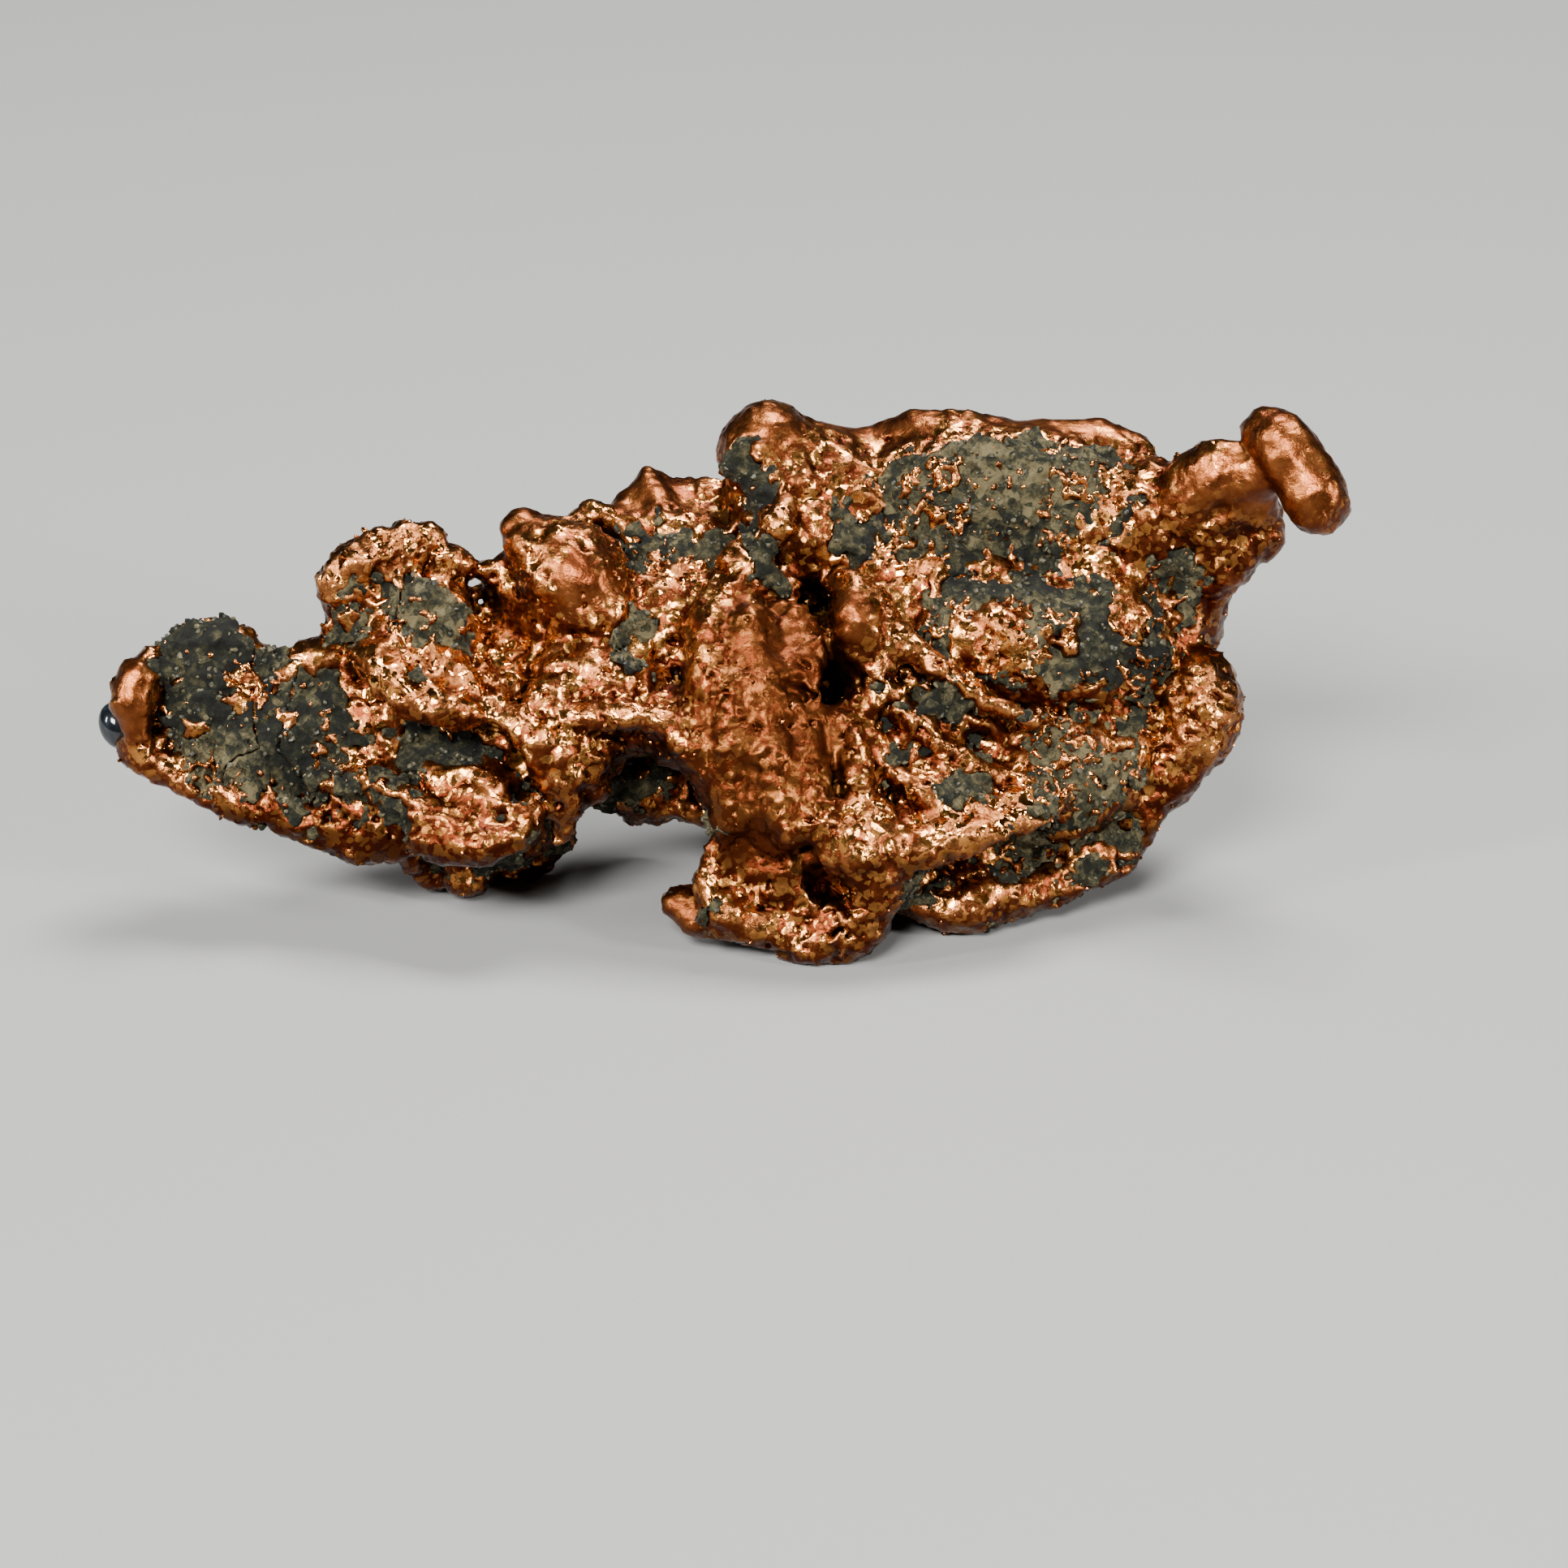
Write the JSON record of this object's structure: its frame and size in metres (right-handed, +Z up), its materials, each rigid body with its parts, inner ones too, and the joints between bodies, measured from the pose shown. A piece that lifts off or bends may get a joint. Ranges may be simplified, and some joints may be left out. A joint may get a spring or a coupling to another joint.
{
  "type": "native copper nugget",
  "caption": "Branching native copper nugget with lumps of dark green-grey host rock set in it, resting on three small flats under its lobes.",
  "frame": {"origin": "under the middle of the nugget's box, on the surface that it rests on", "axes": "+Z up, +X along the nugget from its thin rock-tipped arm to its bean-shaped knob, -Y out of the broad face, which leans back"},
  "size_m": [0.0382, 0.0138, 0.0156],
  "materials": {
    "native_copper": "natural copper metal, satin on the worn lobes, sparkling and red-brown in the hollows",
    "host_rock": "matt fine-grained green-grey rock, mottled, with copper flecks",
    "dark_bead": "glossy near-black mineral bead"
  },
  "bodies": {
    "root": {"copper_nugget": "native_copper", "rock_tip": "host_rock", "rock_arm": "host_rock", "rock_crest": "host_rock", "rock_arm_hollow": "host_rock", "rock_saddle": "host_rock", "rock_knob": "host_rock", "rock_upper_face": "host_rock", "rock_lower_face": "host_rock", "rock_right_face": "host_rock", "rock_shelf_recess": "host_rock", "rock_under_arm": "host_rock", "rock_reverse_leaf": "host_rock", "rock_reverse_arm": "host_rock", "dark_bead": "dark_bead"}
  },
  "joints": []
}
